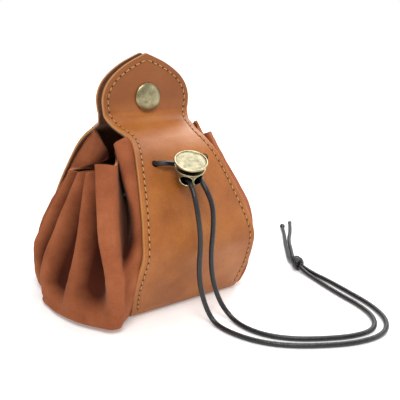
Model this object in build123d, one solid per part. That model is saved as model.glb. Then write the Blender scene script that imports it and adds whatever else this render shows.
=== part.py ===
"""Drawstring dice bag: a stitched leather strap, gathered suede sides, a snap and a cord lock.

Millimetres. Origin on the surface that the bag stands on, under its middle.
+Z is up, -Y is the front with the cord lock, and the gathered sides are at -X and +X.
"""
from build123d import *
from math import cos, radians, sin, tan
import os

os.makedirs("parts", exist_ok=True)

# ---------------------------------------------------------------- driving dimensions
LEATHER = 1.5             # smooth outer leather
LINING = 0.7              # lining glued and sewn behind it
SUEDE = 1.6               # gathered suede, as one thickness of the mean wall
HEAD_Y = 4.2              # outer face of each closed head, from the middle plane
HINGE_Z = 96.5            # fold line under each head
NECK_FOLD = (17.0, 89.2)  # fold line where the neck leaves the sewn body, as (y, z)
NECK_SLOPE = 23.5         # the leather's slope there, in degrees below the horizontal
HINGE_GAP = 0.15          # half the slit left at each fold line
SNAP_Z = 104.6            # centre of the snap
SNAP_CAP_R = 7.5
SNAP_HOLE_D = 4.4
CORD_D = 2.5
CORD_R = CORD_D / 2
CORD_HOLE_D = 3.6
CORD_HOLE_X = 15.0        # punched holes, each side of the middle
CORD_HOLE_Z = 75.6
STITCH_INSET = 3.0
STITCH_PITCH = 3.4
STITCH_LENGTH = 2.3
THREAD_D = 0.6
LOCK_TOP = (-3.8, -50.0, 79.0)   # centre of the button's face
LOCK_LEAN = 26.0          # the lock leans forward
LOCK_TURN = -18.0         # and is turned to the left
BUTTON_R = 8.2
BUTTON_UNDER = -1.7       # underside of the button's head, below its face
BUTTON_TRAVEL = 1.8
STEM_R = 5.1
CHANNEL_D = 5.4
CHANNEL_X = 3.0           # each side of the lock's axis
CHANNEL_Z = -7.6          # below the button's face

# side outline of the strap from the head's fold to the floor, as (distance from the middle plane, height)
SIDE = [
    (HEAD_Y, 98.6), (HEAD_Y + 0.1, HINGE_Z), (8.6, 92.4), (17.0, 89.2), (26.0, 84.6), (34.6, 76.5), (44.6, 60.5),
    (51.6, 46.5), (54.2, 36.5), (51.4, 27.0), (45.6, 14.0), (39.8, 2.6), (36.6, 0.0),
]
# front outline of the strap, as (half width, height): the pointed head, the neck, the flare and the foot
HEAD = [(0.0, 127.2), (5.2, 125.2), (15.9, 119.5), (23.1, 112.5), (26.2, 103.6)]
FLARE = [
    (26.2, 103.6), (25.4, 96.6), (22.6, 90.8), (21.1, 87.2), (22.4, 83.0), (25.4, 74.4),
    (30.2, 54.3), (33.2, 40.0), (35.2, 20.0), (34.2, 9.0), (32.9, 0.0),
]
# a gathered side's mean wall by height, from the front seam round to the back seam, as (x outwards, y)
LEFT_WALL = [
    (0.0, [(33.2, -38.4), (48.5, -44.5), (58.5, -21.0), (60.0, 0.0), (56.0, 21.0), (45.5, 41.5), (33.2, 38.4)]),
    (24.0, [(35.3, -49.9), (50.0, -47.5), (58.0, -24.0), (60.0, 0.0), (56.0, 24.0), (48.0, 46.0), (35.3, 49.9)]),
    (48.0, [(31.8, -50.6), (48.0, -44.5), (51.5, -21.0), (50.0, 0.0), (47.0, 21.0), (40.0, 41.5), (31.8, 50.6)]),
    (68.0, [(27.5, -41.4), (45.0, -36.5), (44.5, -17.0), (41.0, 0.0), (37.5, 16.0), (31.5, 32.0), (27.5, 41.4)]),
    (88.0, [(21.6, -19.6), (37.0, -29.0), (41.0, -14.0), (39.0, 0.0), (36.0, 13.0), (28.0, 23.0), (21.6, 19.6)]),
]
RIGHT_WALL = [
    (0.0, [(33.2, -38.4), (37.5, -34.5), (46.5, -21.5), (57.0, 0.0), (56.0, 21.0), (45.5, 41.5), (33.2, 38.4)]),
    (24.0, [(35.3, -49.9), (42.0, -40.5), (51.5, -25.5), (59.0, 0.0), (56.0, 24.0), (48.0, 46.0), (35.3, 49.9)]),
    (48.0, [(31.8, -50.6), (40.5, -39.5), (48.0, -23.0), (51.0, 0.0), (49.0, 21.0), (43.0, 42.0), (31.8, 50.6)]),
    (68.0, [(27.5, -41.4), (35.0, -30.0), (41.0, -16.5), (42.0, 0.0), (40.0, 16.0), (36.0, 32.0), (27.5, 41.4)]),
    (88.0, [(21.6, -19.6), (29.0, -20.0), (35.5, -12.5), (38.0, 0.0), (36.0, 13.0), (29.0, 23.0), (21.6, 19.6)]),
]
RIM_RADIUS = 26.4         # the gathered rim dips in a round saddle between front and back
RIM_CENTRE_Z = 96.6

# free cords, from the punched holes through the lock to the knot on the floor
LEFT_ROUTE = [
    (-15.0, -34.9, 75.9), (-14.0, -39.6, 78.8), (-2.8, -38.2, 76.1), (-8.4, -55.2, 67.4),
    (-7.2, -60.4, 56.0), (-6.2, -61.6, 41.5), (-7.6, -61.2, 27.0), (-6.4, -63.0, 12.6),
    (-3.4, -67.2, CORD_R), (-3.6, -79.0, CORD_R), (0.8, -93.4, CORD_R), (9.4, -104.8, CORD_R),
    (22.4, -114.2, CORD_R), (38.4, -122.4, CORD_R), (54.6, -124.4, CORD_R), (67.6, -116.2, CORD_R),
    (74.8, -101.0, CORD_R), (77.6, -84.0, CORD_R), (80.6, -64.0, CORD_R), (83.6, -45.8, CORD_R),
]
RIGHT_ROUTE = [
    (15.0, -34.9, 75.9), (12.9, -39.4, 77.4), (2.3, -39.7, 76.2), (-2.7, -55.1, 68.3),
    (1.6, -59.6, 58.6), (1.4, -61.2, 47.0), (-0.2, -61.2, 34.0), (0.4, -61.8, 21.0),
    (3.2, -64.0, 9.0), (6.6, -69.4, CORD_R), (5.4, -80.6, CORD_R), (8.8, -92.8, CORD_R),
    (17.0, -102.8, CORD_R), (28.8, -110.8, CORD_R), (42.4, -117.4, CORD_R), (55.0, -118.4, CORD_R),
    (64.8, -110.2, CORD_R), (69.6, -97.4, CORD_R), (71.4, -82.0, CORD_R), (73.8, -65.4, CORD_R),
    (79.7, -45.0, CORD_R),
]
KNOT_AT = (82.6, -41.0)
KNOT_TURN = 78.0          # direction of the cords through the knot
KNOT_SIZE = (9.0, 8.4, 5.6)
LEFT_TAIL = [
    (81.6, -36.2, CORD_R), (83.3, -28.4, CORD_R), (92.6, -17.6, CORD_R), (103.4, -5.4, CORD_R),
    (112.4, 6.6, CORD_R), (120.6, 15.4, CORD_R), (125.4, 20.6, CORD_R),
]
RIGHT_TAIL = [
    (85.5, -37.0, CORD_R), (87.2, -29.2, CORD_R), (97.0, -20.2, CORD_R), (107.8, -8.2, CORD_R),
    (118.2, 4.8, CORD_R), (128.4, 17.2, CORD_R), (136.4, 25.0, CORD_R),
]

# the drawstring inside the pleats, one half from the front hole to the middle of the back
DRAWSTRING_HALF = [
    (15.0, 34.9, 75.9), (15.0, 30.4, 71.4), (20.6, 28.6, 63.6), (28.4, 26.0, 59.4),
    (36.2, 15.0, 58.2), (37.6, 1.0, 58.6), (35.8, -13.0, 58.2), (29.6, -26.0, 58.4),
    (19.4, -36.4, 58.4), (6.0, -41.4, 58.6),
]

LOCK = Plane(LOCK_TOP) * Rot(0, 0, LOCK_TURN) * Rot(LOCK_LEAN, 0, 0)
TOOL = 140.0              # size of cutting tools, larger than the bag


# ---------------------------------------------------------------- helpers
def save(shape, name):
    """Writes one node; a list is a group of separate solids."""
    if isinstance(shape, list):
        shape = Compound([solid for item in shape for solid in item.solids()])
    export_step(shape, f"parts/{name}.step")


def mirror_y(shape):
    return mirror(shape, about=Plane.XZ)


def mirror_x(shape):
    return mirror(shape, about=Plane.YZ)


def one_solid(shape):
    """The largest solid of a boolean's result."""
    return max(shape.solids(), key=lambda solid: solid.volume)


def route_length(points):
    return sum((Vector(b) - Vector(a)).length for a, b in zip(points, points[1:]))


def cord(points, name):
    """A round cord along straight runs joined by tangent arcs, with its radii and volume printed."""
    radii = []
    for a, b, c in zip(points, points[1:], points[2:]):
        run_in, run_out = Vector(b) - Vector(a), Vector(c) - Vector(b)
        half_turn = radians(run_in.get_angle(run_out)) / 2
        radii.append(0.45 * min(run_in.length, run_out.length) / tan(half_turn))
    path = FilletPolyline(*points, radius=radii)
    start = Plane(path @ 0, z_dir=path % 0)
    tube = sweep(start * Circle(CORD_R), path=path)
    expected = Circle(CORD_R).area * path.length
    print(f"{name}: length {path.length:.1f}, radii {min(radii):.1f} to {max(radii):.1f}, "
          f"volume {tube.volume:.0f} of {expected:.0f}")
    print("   ", " ".join(f"{r:.1f}" for r in radii))
    return tube


# ---------------------------------------------------------------- leather strap
def outline(*curves):
    """A face inside curves that run on from one another."""
    return Face(Wire([edge for curve in curves for edge in curve.edges()], sequenced=True))


def side_points(inset):
    """Points (y, z) down the front of the closed bag, a distance in from the outer face, down to the floor."""
    if inset == 0:
        return [(-y, z) for y, z in SIDE]
    outer = Spline(*[(-y, z) for y, z in SIDE])
    steps = 30
    moved = []
    for i in range(steps + 1):
        point, along = outer @ (i / steps), outer % (i / steps)
        moved.append((point.X - along.Y * inset, point.Y + along.X * inset))
    kept = [(y, z) for y, z in moved if z > inset + 1.0]
    (y1, z1), (y2, z2) = kept[-1], moved[len(kept)]
    foot = y1 + (y2 - y1) * (z1 - inset) / (z1 - z2)
    return kept + [(foot, inset)]


def side_region(inset=0.0):
    """Outline of the closed bag seen from the side, running up past the heads."""
    points = side_points(inset)
    front = Spline(*points)
    back = Spline(*[(-y, z) for y, z in reversed(points)])
    floor = Line(front @ 1, back @ 0)
    head = Polyline(back @ 1, (HEAD_Y - inset, TOOL), (inset - HEAD_Y, TOOL), front @ 0)
    return Plane.YZ * Sketch([outline(front, floor, back, head)])


def front_region(inset=0.0):
    """Outline of the strap seen from the front."""
    left_side = [(-x, z) for x, z in HEAD + FLARE[1:]]
    right_side = [(x, z) for x, z in reversed(HEAD + FLARE[1:])]
    left = Spline(*left_side, tangents=[(-0.86, -0.5), (0.2, -1)])
    right = Spline(*right_side, tangents=[(0.2, 1), (-0.86, 0.5)])
    face = outline(left, Line(left @ 1, right @ 0), right)
    return Plane.XZ * (offset(Sketch([face]), amount=-inset) if inset else Sketch([face]))


def strap_layer(outer_offset, inner_offset):
    """One layer of the strap, all round, between two distances in from the outer face."""
    band = side_region(outer_offset) - side_region(inner_offset)
    solid = extrude(band, TOOL / 2, both=True)
    return solid & extrude(front_region(), TOOL, both=True)


def neck_side():
    """The space above the fold line where the neck leaves the body, front half."""
    fold = Plane((0, -NECK_FOLD[0], NECK_FOLD[1])) * Rot(NECK_SLOPE, 0, 0)
    above = fold * Pos(0, TOOL / 2, 0) * Box(TOOL, TOOL, TOOL / 2)
    front = Pos(0, -TOOL / 2, NECK_FOLD[1]) * Box(TOOL, TOOL, TOOL)
    return above & front


def head_side():
    """The space above the fold line under the head, front half."""
    return Pos(0, -TOOL / 2, HINGE_Z + TOOL / 2) * Box(TOOL, TOOL, TOOL)


def shifted(space, y, z):
    return Pos(0, y, z) * space


def strap_pieces(layer):
    """The body, the front neck and the front head of one layer; the back ones are their mirror images."""
    slope = radians(NECK_SLOPE)
    step = (HINGE_GAP * cos(slope), HINGE_GAP * sin(slope))
    neck_and_head = layer & shifted(neck_side(), *step)
    body_cut = shifted(neck_side(), -step[0], -step[1])
    body = one_solid(layer - body_cut - mirror_y(body_cut))
    head = one_solid(neck_and_head & shifted(head_side(), 0, HINGE_GAP))
    neck = one_solid(neck_and_head - shifted(head_side(), 0, -HINGE_GAP))
    return body, neck, head


def cord_hole(x):
    return Plane((x, -34.9, CORD_HOLE_Z), z_dir=(0, -0.707, 0.707)) * Cylinder(CORD_HOLE_D / 2, 12)


SNAP_HOLE = Pos(0, -HEAD_Y, SNAP_Z) * Rot(90, 0, 0) * Cylinder(SNAP_HOLE_D / 2, 12)

leather_body, leather_neck, leather_head = strap_pieces(strap_layer(0.0, LEATHER))
lining_body, lining_neck, lining_head = strap_pieces(strap_layer(LEATHER, LEATHER + LINING))
HOLES = cord_hole(-CORD_HOLE_X) + cord_hole(CORD_HOLE_X)
save(one_solid(leather_body - HOLES), "strap_body")
save(one_solid(lining_body - HOLES), "strap_lining")
for side, place in (("front", lambda shape: shape), ("back", mirror_y)):
    save(place(leather_neck), f"{side}_neck")
    save(place(lining_neck), f"{side}_neck_lining")
    save(place(one_solid(leather_head - SNAP_HOLE)), f"{side}_head")
    save(place(one_solid(lining_head - SNAP_HOLE)), f"{side}_head_lining")


# ---------------------------------------------------------------- stitching
def stitch_places():
    """Points along the seam inside the strap's left edge, on the outer face, every stitch pitch.

    Each is (point, direction along the seam, part of the strap)."""
    profile = Spline(*[(0, -y, z) for y, z in SIDE])
    heights = [(profile @ (i / 400)).Z for i in range(401)]
    depths = [(profile @ (i / 400)).Y for i in range(401)]

    def depth(z):
        if z >= SIDE[0][1]:
            return -HEAD_Y
        i = next(k for k in range(400) if heights[k + 1] <= z)
        share = (heights[i] - z) / (heights[i] - heights[i + 1])
        return depths[i] + share * (depths[i + 1] - depths[i])

    seam = max(front_region(STITCH_INSET).wires(), key=lambda wire: wire.length)
    samples = [seam @ (i / 3000) for i in range(3001)]
    side = sorted((p for p in samples if p.X < -0.8 and 5.0 < p.Z), key=lambda p: -p.Z)
    points = [Vector(p.X, depth(p.Z), p.Z) for p in side]
    places, walked = [], STITCH_PITCH / 2
    for a, b in zip(points, points[1:]):
        walked += (b - a).length
        if walked >= STITCH_PITCH:
            walked -= STITCH_PITCH
            places.append((b, (b - a).normalized()))
    return places


def stitches(places):
    """A short bar of thread lying on the leather at each place, and its mirror image across the strap."""
    bars = []
    for point, along in places:
        across = Vector(1, 0, 0) if abs(along.Z) > 0.1 else Vector(0, 0, 1)
        outward = along.cross(across)
        outward = outward if outward.Y < 0 or outward.Z > 0.9 else outward * -1
        lifted = point + outward.normalized() * (THREAD_D / 2 + 0.06)
        bar = Plane(lifted, z_dir=along) * Cylinder(THREAD_D / 2, STITCH_LENGTH)
        bars += [bar, mirror_x(bar)]
    return bars


def part_of(point):
    if point.Z > HINGE_Z + 1.5:
        return "head"
    if point.Z < NECK_FOLD[1] - 1.2:
        return "body"
    if NECK_FOLD[1] + 1.2 < point.Z < HINGE_Z - 2.0:
        return "neck"
    return None


PLACES = stitch_places()
body_bars = stitches([place for place in PLACES if part_of(place[0]) == "body"])
save(body_bars + [mirror_y(bar) for bar in body_bars], "body_stitches")
for part in ("neck", "head"):
    bars = stitches([place for place in PLACES if part_of(place[0]) == part])
    save(bars, f"front_{part}_stitches")
    save([mirror_y(bar) for bar in bars], f"back_{part}_stitches")


# ---------------------------------------------------------------- gathered suede sides
def moved_in(wall):
    """The wall's points moved inwards by the suede's thickness."""
    inner = [(wall[0][0], wall[0][1] + SUEDE)]
    for a, b, c in zip(wall, wall[1:], wall[2:]):
        along = (Vector(*c) - Vector(*a)).normalized()
        inner.append((b[0] - along.Y * SUEDE, b[1] + along.X * SUEDE))
    return inner + [(wall[-1][0], wall[-1][1] - SUEDE)]


def gusset_section(height, wall):
    """The wall at one height, as a thin face with +X outwards."""
    outer, inner = Spline(*wall), Spline(*moved_in(wall))
    face = outline(outer, Line(outer @ 1, inner @ 1), inner, Line(inner @ 0, outer @ 0))
    return Pos(0, 0, height) * face


def gusset(walls):
    """A gathered side with +X outwards: the wall, its floor and the rim's saddle."""
    wall = loft([gusset_section(height, points) for height, points in walls])
    edge = Spline(*walls[0][1])
    floor = extrude(outline(edge, Line(edge @ 1, edge @ 0)), SUEDE, dir=(0, 0, 1))
    saddle = Pos(0, 0, RIM_CENTRE_Z) * Rot(0, 90, 0) * Cylinder(RIM_RADIUS, 2 * TOOL)
    return one_solid(wall + floor - saddle)


save(mirror_x(gusset(LEFT_WALL)), "left_gusset")
save(gusset(RIGHT_WALL), "right_gusset")


# ---------------------------------------------------------------- snap
def snap_axis(shape):
    """Places a shape drawn along +Z so that +Z runs from the middle plane out to the front."""
    return Pos(0, 0, SNAP_Z) * Rot(90, 0, 0) * shape


def turned(points):
    """A solid of revolution about +Z from (radius, height) points."""
    return revolve(Plane.XZ * make_face(Polyline(*points, close=True)), Axis.Z)


INNER_Y = HEAD_Y - LEATHER - LINING
cap = Pos(0, 0, HEAD_Y) * turned([
    (0, 0), (SNAP_CAP_R - 0.3, 0), (SNAP_CAP_R, 0.35), (SNAP_CAP_R - 0.1, 0.8), (SNAP_CAP_R - 0.8, 1.3),
    (4.6, 1.9), (2.2, 2.15), (0, 2.2),
])
rivet = Pos(0, 0, INNER_Y - 1.0) * Cylinder(1.9, HEAD_Y - INNER_Y + 1.0, align=(Align.CENTER, Align.CENTER, Align.MIN))
save(snap_axis(cap + rivet), "snap_cap")
socket = turned([
    (2.6, INNER_Y), (6.2, INNER_Y), (6.2, INNER_Y - 0.8), (5.2, INNER_Y - 1.9), (3.6, INNER_Y - 2.3),
    (2.75, INNER_Y - 2.3), (2.75, INNER_Y - 1.0), (2.6, INNER_Y - 0.6),
])
save(snap_axis(socket), "snap_socket")
spring_ring = snap_axis(Pos(0, 0, INNER_Y - 1.6) * (Cylinder(2.74, 0.3) - Cylinder(2.44, 0.3)))
save(spring_ring, "snap_spring_ring")
stud = turned([
    (0, -INNER_Y), (5.9, -INNER_Y), (5.9, -INNER_Y + 0.7), (3.0, -INNER_Y + 1.0), (1.9, -INNER_Y + 1.3),
    (1.9, -INNER_Y + 1.8), (2.3, -INNER_Y + 2.2), (2.2, -INNER_Y + 2.6), (1.6, -INNER_Y + 2.9), (0, -INNER_Y + 2.9),
])
save(snap_axis(stud), "snap_stud")
post = turned([(0, -HEAD_Y), (0, -HEAD_Y - 0.9), (4.6, -HEAD_Y - 0.8), (5.2, -HEAD_Y - 0.3), (5.2, -HEAD_Y)])
post_pin = Pos(0, 0, -HEAD_Y) * Cylinder(1.9, HEAD_Y - INNER_Y, align=(Align.CENTER, Align.CENTER, Align.MIN))
save(snap_axis(post + post_pin), "snap_post")


# ---------------------------------------------------------------- cord lock
def in_lock(shape):
    """Places a shape drawn with +Z along the lock's axis and the button's face at zero."""
    return LOCK * shape


def both_channels(diameter, length=30.0):
    hole = Rot(90, 0, 0) * Cylinder(diameter / 2, length)
    return Pos(-CHANNEL_X, 0, CHANNEL_Z) * hole + Pos(CHANNEL_X, 0, CHANNEL_Z) * hole


button = turned([
    (0, -0.45), (BUTTON_R - 1.4, -0.45), (BUTTON_R - 1.1, 0), (BUTTON_R - 0.3, 0), (BUTTON_R, -0.4),
    (BUTTON_R, -1.3), (BUTTON_R - 0.5, BUTTON_UNDER), (STEM_R, BUTTON_UNDER), (STEM_R, -10.0), (0, -10.0),
])
window_top = CHANNEL_Z + CORD_R + BUTTON_TRAVEL + 0.05
window_bottom = CHANNEL_Z - CORD_R - 0.1
window = Pos(0, 0, (window_top + window_bottom) / 2) * Box(2 * CHANNEL_X + 2.6, 20, window_top - window_bottom)
save(in_lock(button - window), "lock_button")
rim_z = BUTTON_UNDER - BUTTON_TRAVEL - 0.2
bore = STEM_R + 0.25
barrel = turned([
    (bore, rim_z), (7.6, rim_z), (7.8, rim_z - 0.4), (7.5, rim_z - 0.9), (6.8, rim_z - 1.3), (6.8, -9.4),
    (6.0, -12.0), (4.6, -13.2), (0, -13.6), (0, -12.6), (4.4, -12.4), (bore, -11.9),
])
save(in_lock(barrel - both_channels(CHANNEL_D)), "lock_barrel")
coil = Cylinder(4.0, 0.5) - Cylinder(3.4, 0.5)
bridge = Pos(3.7, 0, -10.8) * Box(0.5, 0.6, 1.0)
save(in_lock(Pos(0, 0, -10.4) * coil + Pos(0, 0, -11.2) * coil + bridge), "lock_spring")


# ---------------------------------------------------------------- drawstring, strands, knot and tails
other_half = [(-x, y, z) for x, y, z in reversed(DRAWSTRING_HALF)]
drawstring = [(x, -y, z) for x, y, z in DRAWSTRING_HALF + other_half]
save(cord(drawstring, "drawstring"), "drawstring")
save(cord(LEFT_ROUTE, "left_strand"), "left_strand")
save(cord(RIGHT_ROUTE, "right_strand"), "right_strand")
save(cord(LEFT_TAIL, "left_tail"), "left_tail")
save(cord(RIGHT_TAIL, "right_tail"), "right_tail")
length, width, height = KNOT_SIZE
knot = Box(length, width, height, align=(Align.CENTER, Align.CENTER, Align.MIN))
knot = fillet(knot.edges().filter_by(Axis.X), radius=1.9)
save(Pos(*KNOT_AT, 0) * Rot(0, 0, KNOT_TURN) * knot, "knot")
print("free cord: left", round(route_length(LEFT_ROUTE)), "right", round(route_length(RIGHT_ROUTE)))
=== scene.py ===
"""Looks of the drawstring dice bag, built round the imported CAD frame.

Metres; +Z is up, -Y is the front, and the gathered sides are at -X and +X.
Lengths that are written in millimetres are turned into metres by MM.
"""

from math import cos, pi, radians, sin

import bpy
import numpy as np
from mathutils import Matrix, Vector, noise


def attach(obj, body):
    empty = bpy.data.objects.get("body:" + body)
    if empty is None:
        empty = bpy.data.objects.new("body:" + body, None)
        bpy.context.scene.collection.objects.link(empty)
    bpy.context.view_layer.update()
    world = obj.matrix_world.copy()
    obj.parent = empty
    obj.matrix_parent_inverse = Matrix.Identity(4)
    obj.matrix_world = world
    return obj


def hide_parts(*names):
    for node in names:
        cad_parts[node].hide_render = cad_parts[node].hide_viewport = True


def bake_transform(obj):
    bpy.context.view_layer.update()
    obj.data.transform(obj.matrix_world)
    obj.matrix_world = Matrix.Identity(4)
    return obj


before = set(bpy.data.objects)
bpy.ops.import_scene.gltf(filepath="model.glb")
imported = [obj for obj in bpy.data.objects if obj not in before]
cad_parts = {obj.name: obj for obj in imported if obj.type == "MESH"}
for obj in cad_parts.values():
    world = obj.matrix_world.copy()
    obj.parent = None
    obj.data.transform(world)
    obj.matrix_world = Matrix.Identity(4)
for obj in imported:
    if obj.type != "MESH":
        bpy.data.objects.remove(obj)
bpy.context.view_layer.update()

MM = 0.001

# ---------------------------------------------------------------- driving dimensions, as in the CAD source
LEATHER = 1.5
LINING = 0.7
SUEDE = 1.2
HEAD_Y = 4.2
TIP_Z = 127.2
SNAP_Z = 104.6
CORD_D = 0.0025
CORD_HOLE_R = 1.8
STITCH_INSET = 3.0
STITCH_PITCH = 3.4
STITCH_LENGTH = 2.5
THREAD_R = 0.30
LOCK_TOP = (-3.8, -50.0, 79.0)
LOCK_LEAN, LOCK_TURN = 26.0, -18.0  # degrees
CHANNEL_X = 3.0
CHANNEL_Z = -7.6
SIDE = [
    (4.2, 98.6), (4.3, 96.5), (8.6, 92.4), (17.0, 89.2), (26.0, 84.6), (34.6, 76.5), (44.6, 60.5),
    (51.6, 46.5), (54.2, 36.5), (51.4, 27.0), (45.6, 14.0), (39.8, 2.6), (36.6, 0.0),
]
OUTLINE = [
    (0.0, 127.2), (4.6, 125.4), (10.8, 122.6), (15.9, 119.5), (20.4, 115.9), (23.5, 112.2), (25.4, 108.2),
    (26.2, 103.6), (25.4, 96.6), (22.6, 90.8), (21.1, 87.2), (22.4, 83.0), (25.4, 74.4), (30.2, 54.3),
    (33.2, 40.0), (35.2, 20.0), (34.2, 9.0), (32.9, 0.0),
]

# The free cords' routes, in metres: the CAD solids' own points, moved by up to 5 mm near the lock and the
# knot and along the tails to follow the photo.
LEFT_ROUTE = [
    (-0.015, -0.0349, 0.0759), (-0.014, -0.0398, 0.0772), (-0.0028, -0.0384, 0.0752),
    (-0.0066, -0.0553, 0.0672), (-0.0072, -0.0604, 0.056), (-0.0062, -0.0616, 0.0415),
    (-0.0076, -0.0612, 0.027), (-0.0064, -0.063, 0.0126), (-0.0034, -0.0672, 0.00125),
    (-0.0036, -0.079, 0.00125), (0.0008, -0.0934, 0.00125), (0.0094, -0.1048, 0.00125),
    (0.0224, -0.1142, 0.00125), (0.0384, -0.1224, 0.00125), (0.0546, -0.1244, 0.00125),
    (0.0676, -0.1162, 0.00125), (0.0748, -0.101, 0.00125), (0.0776, -0.084, 0.00125),
    (0.0804, -0.0655, 0.00125), (0.0810, -0.0545, 0.00125), (0.0811, -0.0472, 0.002),
    (0.0808, -0.0415, 0.0036),
]
RIGHT_ROUTE = [
    (0.015, -0.0349, 0.0759), (0.0122, -0.0388, 0.0762), (0.0023, -0.0397, 0.0762),
    (-0.0005, -0.0549, 0.0684), (0.0022, -0.0596, 0.0586), (0.0014, -0.0612, 0.047),
    (-0.0002, -0.0612, 0.034), (0.0004, -0.0618, 0.021), (0.0032, -0.064, 0.009),
    (0.0066, -0.0694, 0.00125), (0.0054, -0.0806, 0.00125), (0.0088, -0.0928, 0.00125),
    (0.017, -0.1028, 0.00125), (0.0288, -0.1108, 0.00125), (0.0424, -0.1174, 0.00125),
    (0.055, -0.1184, 0.00125), (0.0648, -0.1102, 0.00125), (0.0696, -0.0974, 0.00125),
    (0.0714, -0.082, 0.00125), (0.0744, -0.0662, 0.00125), (0.0768, -0.0552, 0.00125),
    (0.0781, -0.0478, 0.002), (0.0794, -0.0412, 0.0036),
]
LEFT_TAIL = [
    (0.0816, -0.0366, 0.0034), (0.0834, -0.0310, 0.0018), (0.0868, -0.0260, 0.00125),
    (0.0912, -0.0204, 0.00125), (0.0970, -0.0134, 0.00125), (0.1026, -0.0062, 0.00125),
    (0.1074, -0.0008, 0.00125), (0.1124, 0.0052, 0.00125), (0.1176, 0.0112, 0.00125),
    (0.1226, 0.0178, 0.00135), (0.1258, 0.0216, 0.0016),
]
RIGHT_TAIL = [
    (0.0828, -0.0370, 0.0034), (0.0852, -0.0326, 0.0018), (0.0888, -0.0278, 0.00125),
    (0.0934, -0.0220, 0.00125), (0.0991, -0.0151, 0.00125), (0.1048, -0.0079, 0.00125),
    (0.1096, -0.0024, 0.00125), (0.1150, 0.0032, 0.00125), (0.1212, 0.0088, 0.00125),
    (0.1290, 0.0168, 0.0013), (0.1364, 0.0250, 0.0014),
]
# the drawstring, from the left front hole round the left side to the middle of the back, and mirrored
DRAWSTRING_HALF = [
    (-0.015, -0.0349, 0.0759), (-0.015, -0.0304, 0.0714), (-0.0206, -0.0286, 0.0636),
    (-0.0284, -0.026, 0.0594), (-0.0362, -0.015, 0.0582), (-0.0376, -0.001, 0.0586),
    (-0.0358, 0.013, 0.0582), (-0.0296, 0.026, 0.0584), (-0.0194, 0.0364, 0.0584), (-0.006, 0.0414, 0.0586),
]
# the knot's middle and the way the cords run through it
KNOT_AT = Vector((0.0806, -0.0402, 0.0039))
KNOT_ALONG = Vector((0.306, 0.952, 0.0))

# ---------------------------------------------------------------- camera
AZIMUTH, ELEVATION = radians(-35.5), radians(15.7)
TARGET = Vector((0.0, -0.0519, 0.0591))
DISTANCE = 0.292
BACKWARDS = Vector((sin(AZIMUTH) * cos(ELEVATION), -cos(AZIMUTH) * cos(ELEVATION), sin(ELEVATION)))
camera = bpy.data.objects.new("camera", bpy.data.cameras.new("camera"))
camera.data.lens = 54.0
camera.data.sensor_width = 36.0
camera.data.clip_start = 0.01
camera.location = TARGET + BACKWARDS * DISTANCE
camera.rotation_euler = BACKWARDS.to_track_quat("Z", "Y").to_euler()
bpy.context.scene.collection.objects.link(camera)
bpy.context.scene.camera = camera


# ---------------------------------------------------------------- material helpers
def shader(name, colour=(0.5, 0.5, 0.5), roughness=0.5, metallic=0.0):
    """A new material; its own constants go on the shader's sockets."""
    mat = bpy.data.materials.new(name)
    mat.use_nodes = True
    bsdf = mat.node_tree.nodes["Principled BSDF"]
    bsdf.inputs["Base Color"].default_value = (*colour, 1)
    bsdf.inputs["Roughness"].default_value = roughness
    bsdf.inputs["Metallic"].default_value = metallic
    mat.diffuse_color = (*colour, 1)
    return mat, mat.node_tree, bsdf


def add(tree, kind, links=None, **settings):
    """A node with its settings; links is {input name or index: output socket or value}."""
    made = tree.nodes.new(kind)
    for key, value in settings.items():
        setattr(made, key, value)
    for key, value in (links or {}).items():
        if isinstance(value, bpy.types.NodeSocket):
            tree.links.new(value, made.inputs[key])
        else:
            made.inputs[key].default_value = value
    return made


def place(tree):
    """Object coordinates, which are the row frame's own metres."""
    return add(tree, "ShaderNodeTexCoord").outputs["Object"]


def grain(tree, where, scale, detail=3.0, roughness=0.5):
    """Noise from 0 to 1."""
    links = {"Vector": where, "Scale": scale, "Detail": detail, "Roughness": roughness}
    return add(tree, "ShaderNodeTexNoise", links).outputs["Fac"]


def cells(tree, where, scale):
    """Distance to the nearest of many scattered points, for pores and braid."""
    return add(tree, "ShaderNodeTexVoronoi", {"Vector": where, "Scale": scale}).outputs["Distance"]


def ramp(tree, factor, stops):
    """A colour ramp; each stop is (position, colour or grey level)."""
    made = add(tree, "ShaderNodeValToRGB", {"Fac": factor})
    elements = made.color_ramp.elements
    while len(elements) < len(stops):
        elements.new(0.5)
    for element, (position, colour) in zip(elements, stops):
        element.position = position
        element.color = (*colour, 1) if isinstance(colour, tuple) else (colour, colour, colour, 1)
    return made.outputs["Color"]


def mixed(tree, factor, a, b, blend="MIX"):
    """Colour a with b over it; any of the three may be a socket or a plain value."""
    made = add(tree, "ShaderNodeMix", data_type="RGBA", blend_type=blend)
    for socket, value in ((made.inputs[0], factor), (made.inputs[6], a), (made.inputs[7], b)):
        if isinstance(value, bpy.types.NodeSocket):
            tree.links.new(value, socket)
        else:
            socket.default_value = (*value, 1) if isinstance(value, tuple) else value
    return made.outputs[2]


def attribute(tree, name):
    """A float stored on the mesh's points, such as how near a seam or how deep in a fold each is."""
    return add(tree, "ShaderNodeAttribute", attribute_name=name).outputs["Fac"]


def bumped(tree, bsdf, heights):
    """Chains bumps, each (height, strength, distance in metres), into the shader's normal."""
    normal = None
    for height, strength, distance in heights:
        links = {"Height": height, "Strength": strength, "Distance": distance}
        if normal is not None:
            links["Normal"] = normal
        normal = add(tree, "ShaderNodeBump", links).outputs["Normal"]
    tree.links.new(normal, bsdf.inputs["Normal"])


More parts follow.
